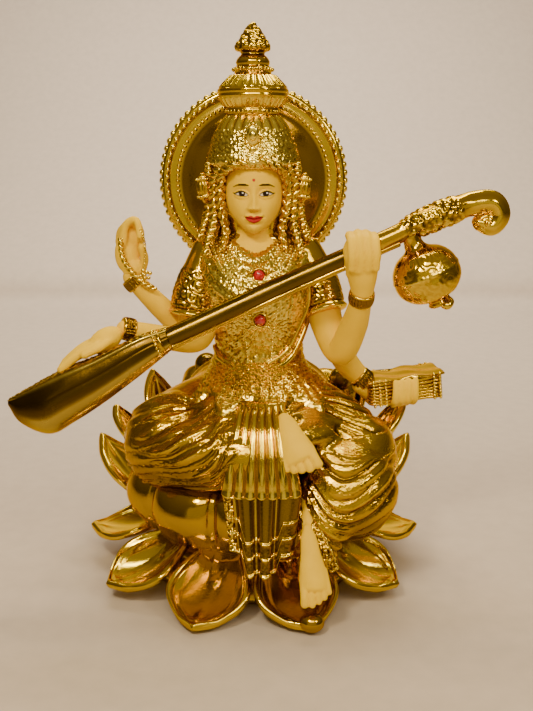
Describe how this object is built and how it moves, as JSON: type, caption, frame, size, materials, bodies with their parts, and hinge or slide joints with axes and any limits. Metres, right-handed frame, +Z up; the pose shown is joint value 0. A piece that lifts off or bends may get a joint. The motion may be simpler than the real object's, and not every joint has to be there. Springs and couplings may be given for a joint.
{
  "type": "statue of a four-armed goddess with a veena",
  "caption": "Gilded statue of a seated four-armed goddess on a lotus, playing a veena and holding a book and a bead string, with a tall crown and a round halo.",
  "frame": {"origin": "middle of the flat underside, on the surface that the statue stands on", "axes": "+Z up, the figure faces -Y, +X towards the figure's left hand side"},
  "size_m": [0.2586, 0.199, 0.305],
  "materials": {
    "gold_plate": "bright polished gold plating over cast resin, darker in the recesses",
    "skin_paint": "matte pale yellow paint on the face, neck, arms, hands and feet",
    "red_paint": "red paint on the lips and forehead mark",
    "black_paint": "fine dark paint lines of the brows and eyes",
    "red_stone": "polished red cabochon"
  },
  "bodies": {
    "root": {"statue": "gold_plate", "upper_red_stone": "red_stone", "lower_red_stone": "red_stone"}
  },
  "joints": []
}
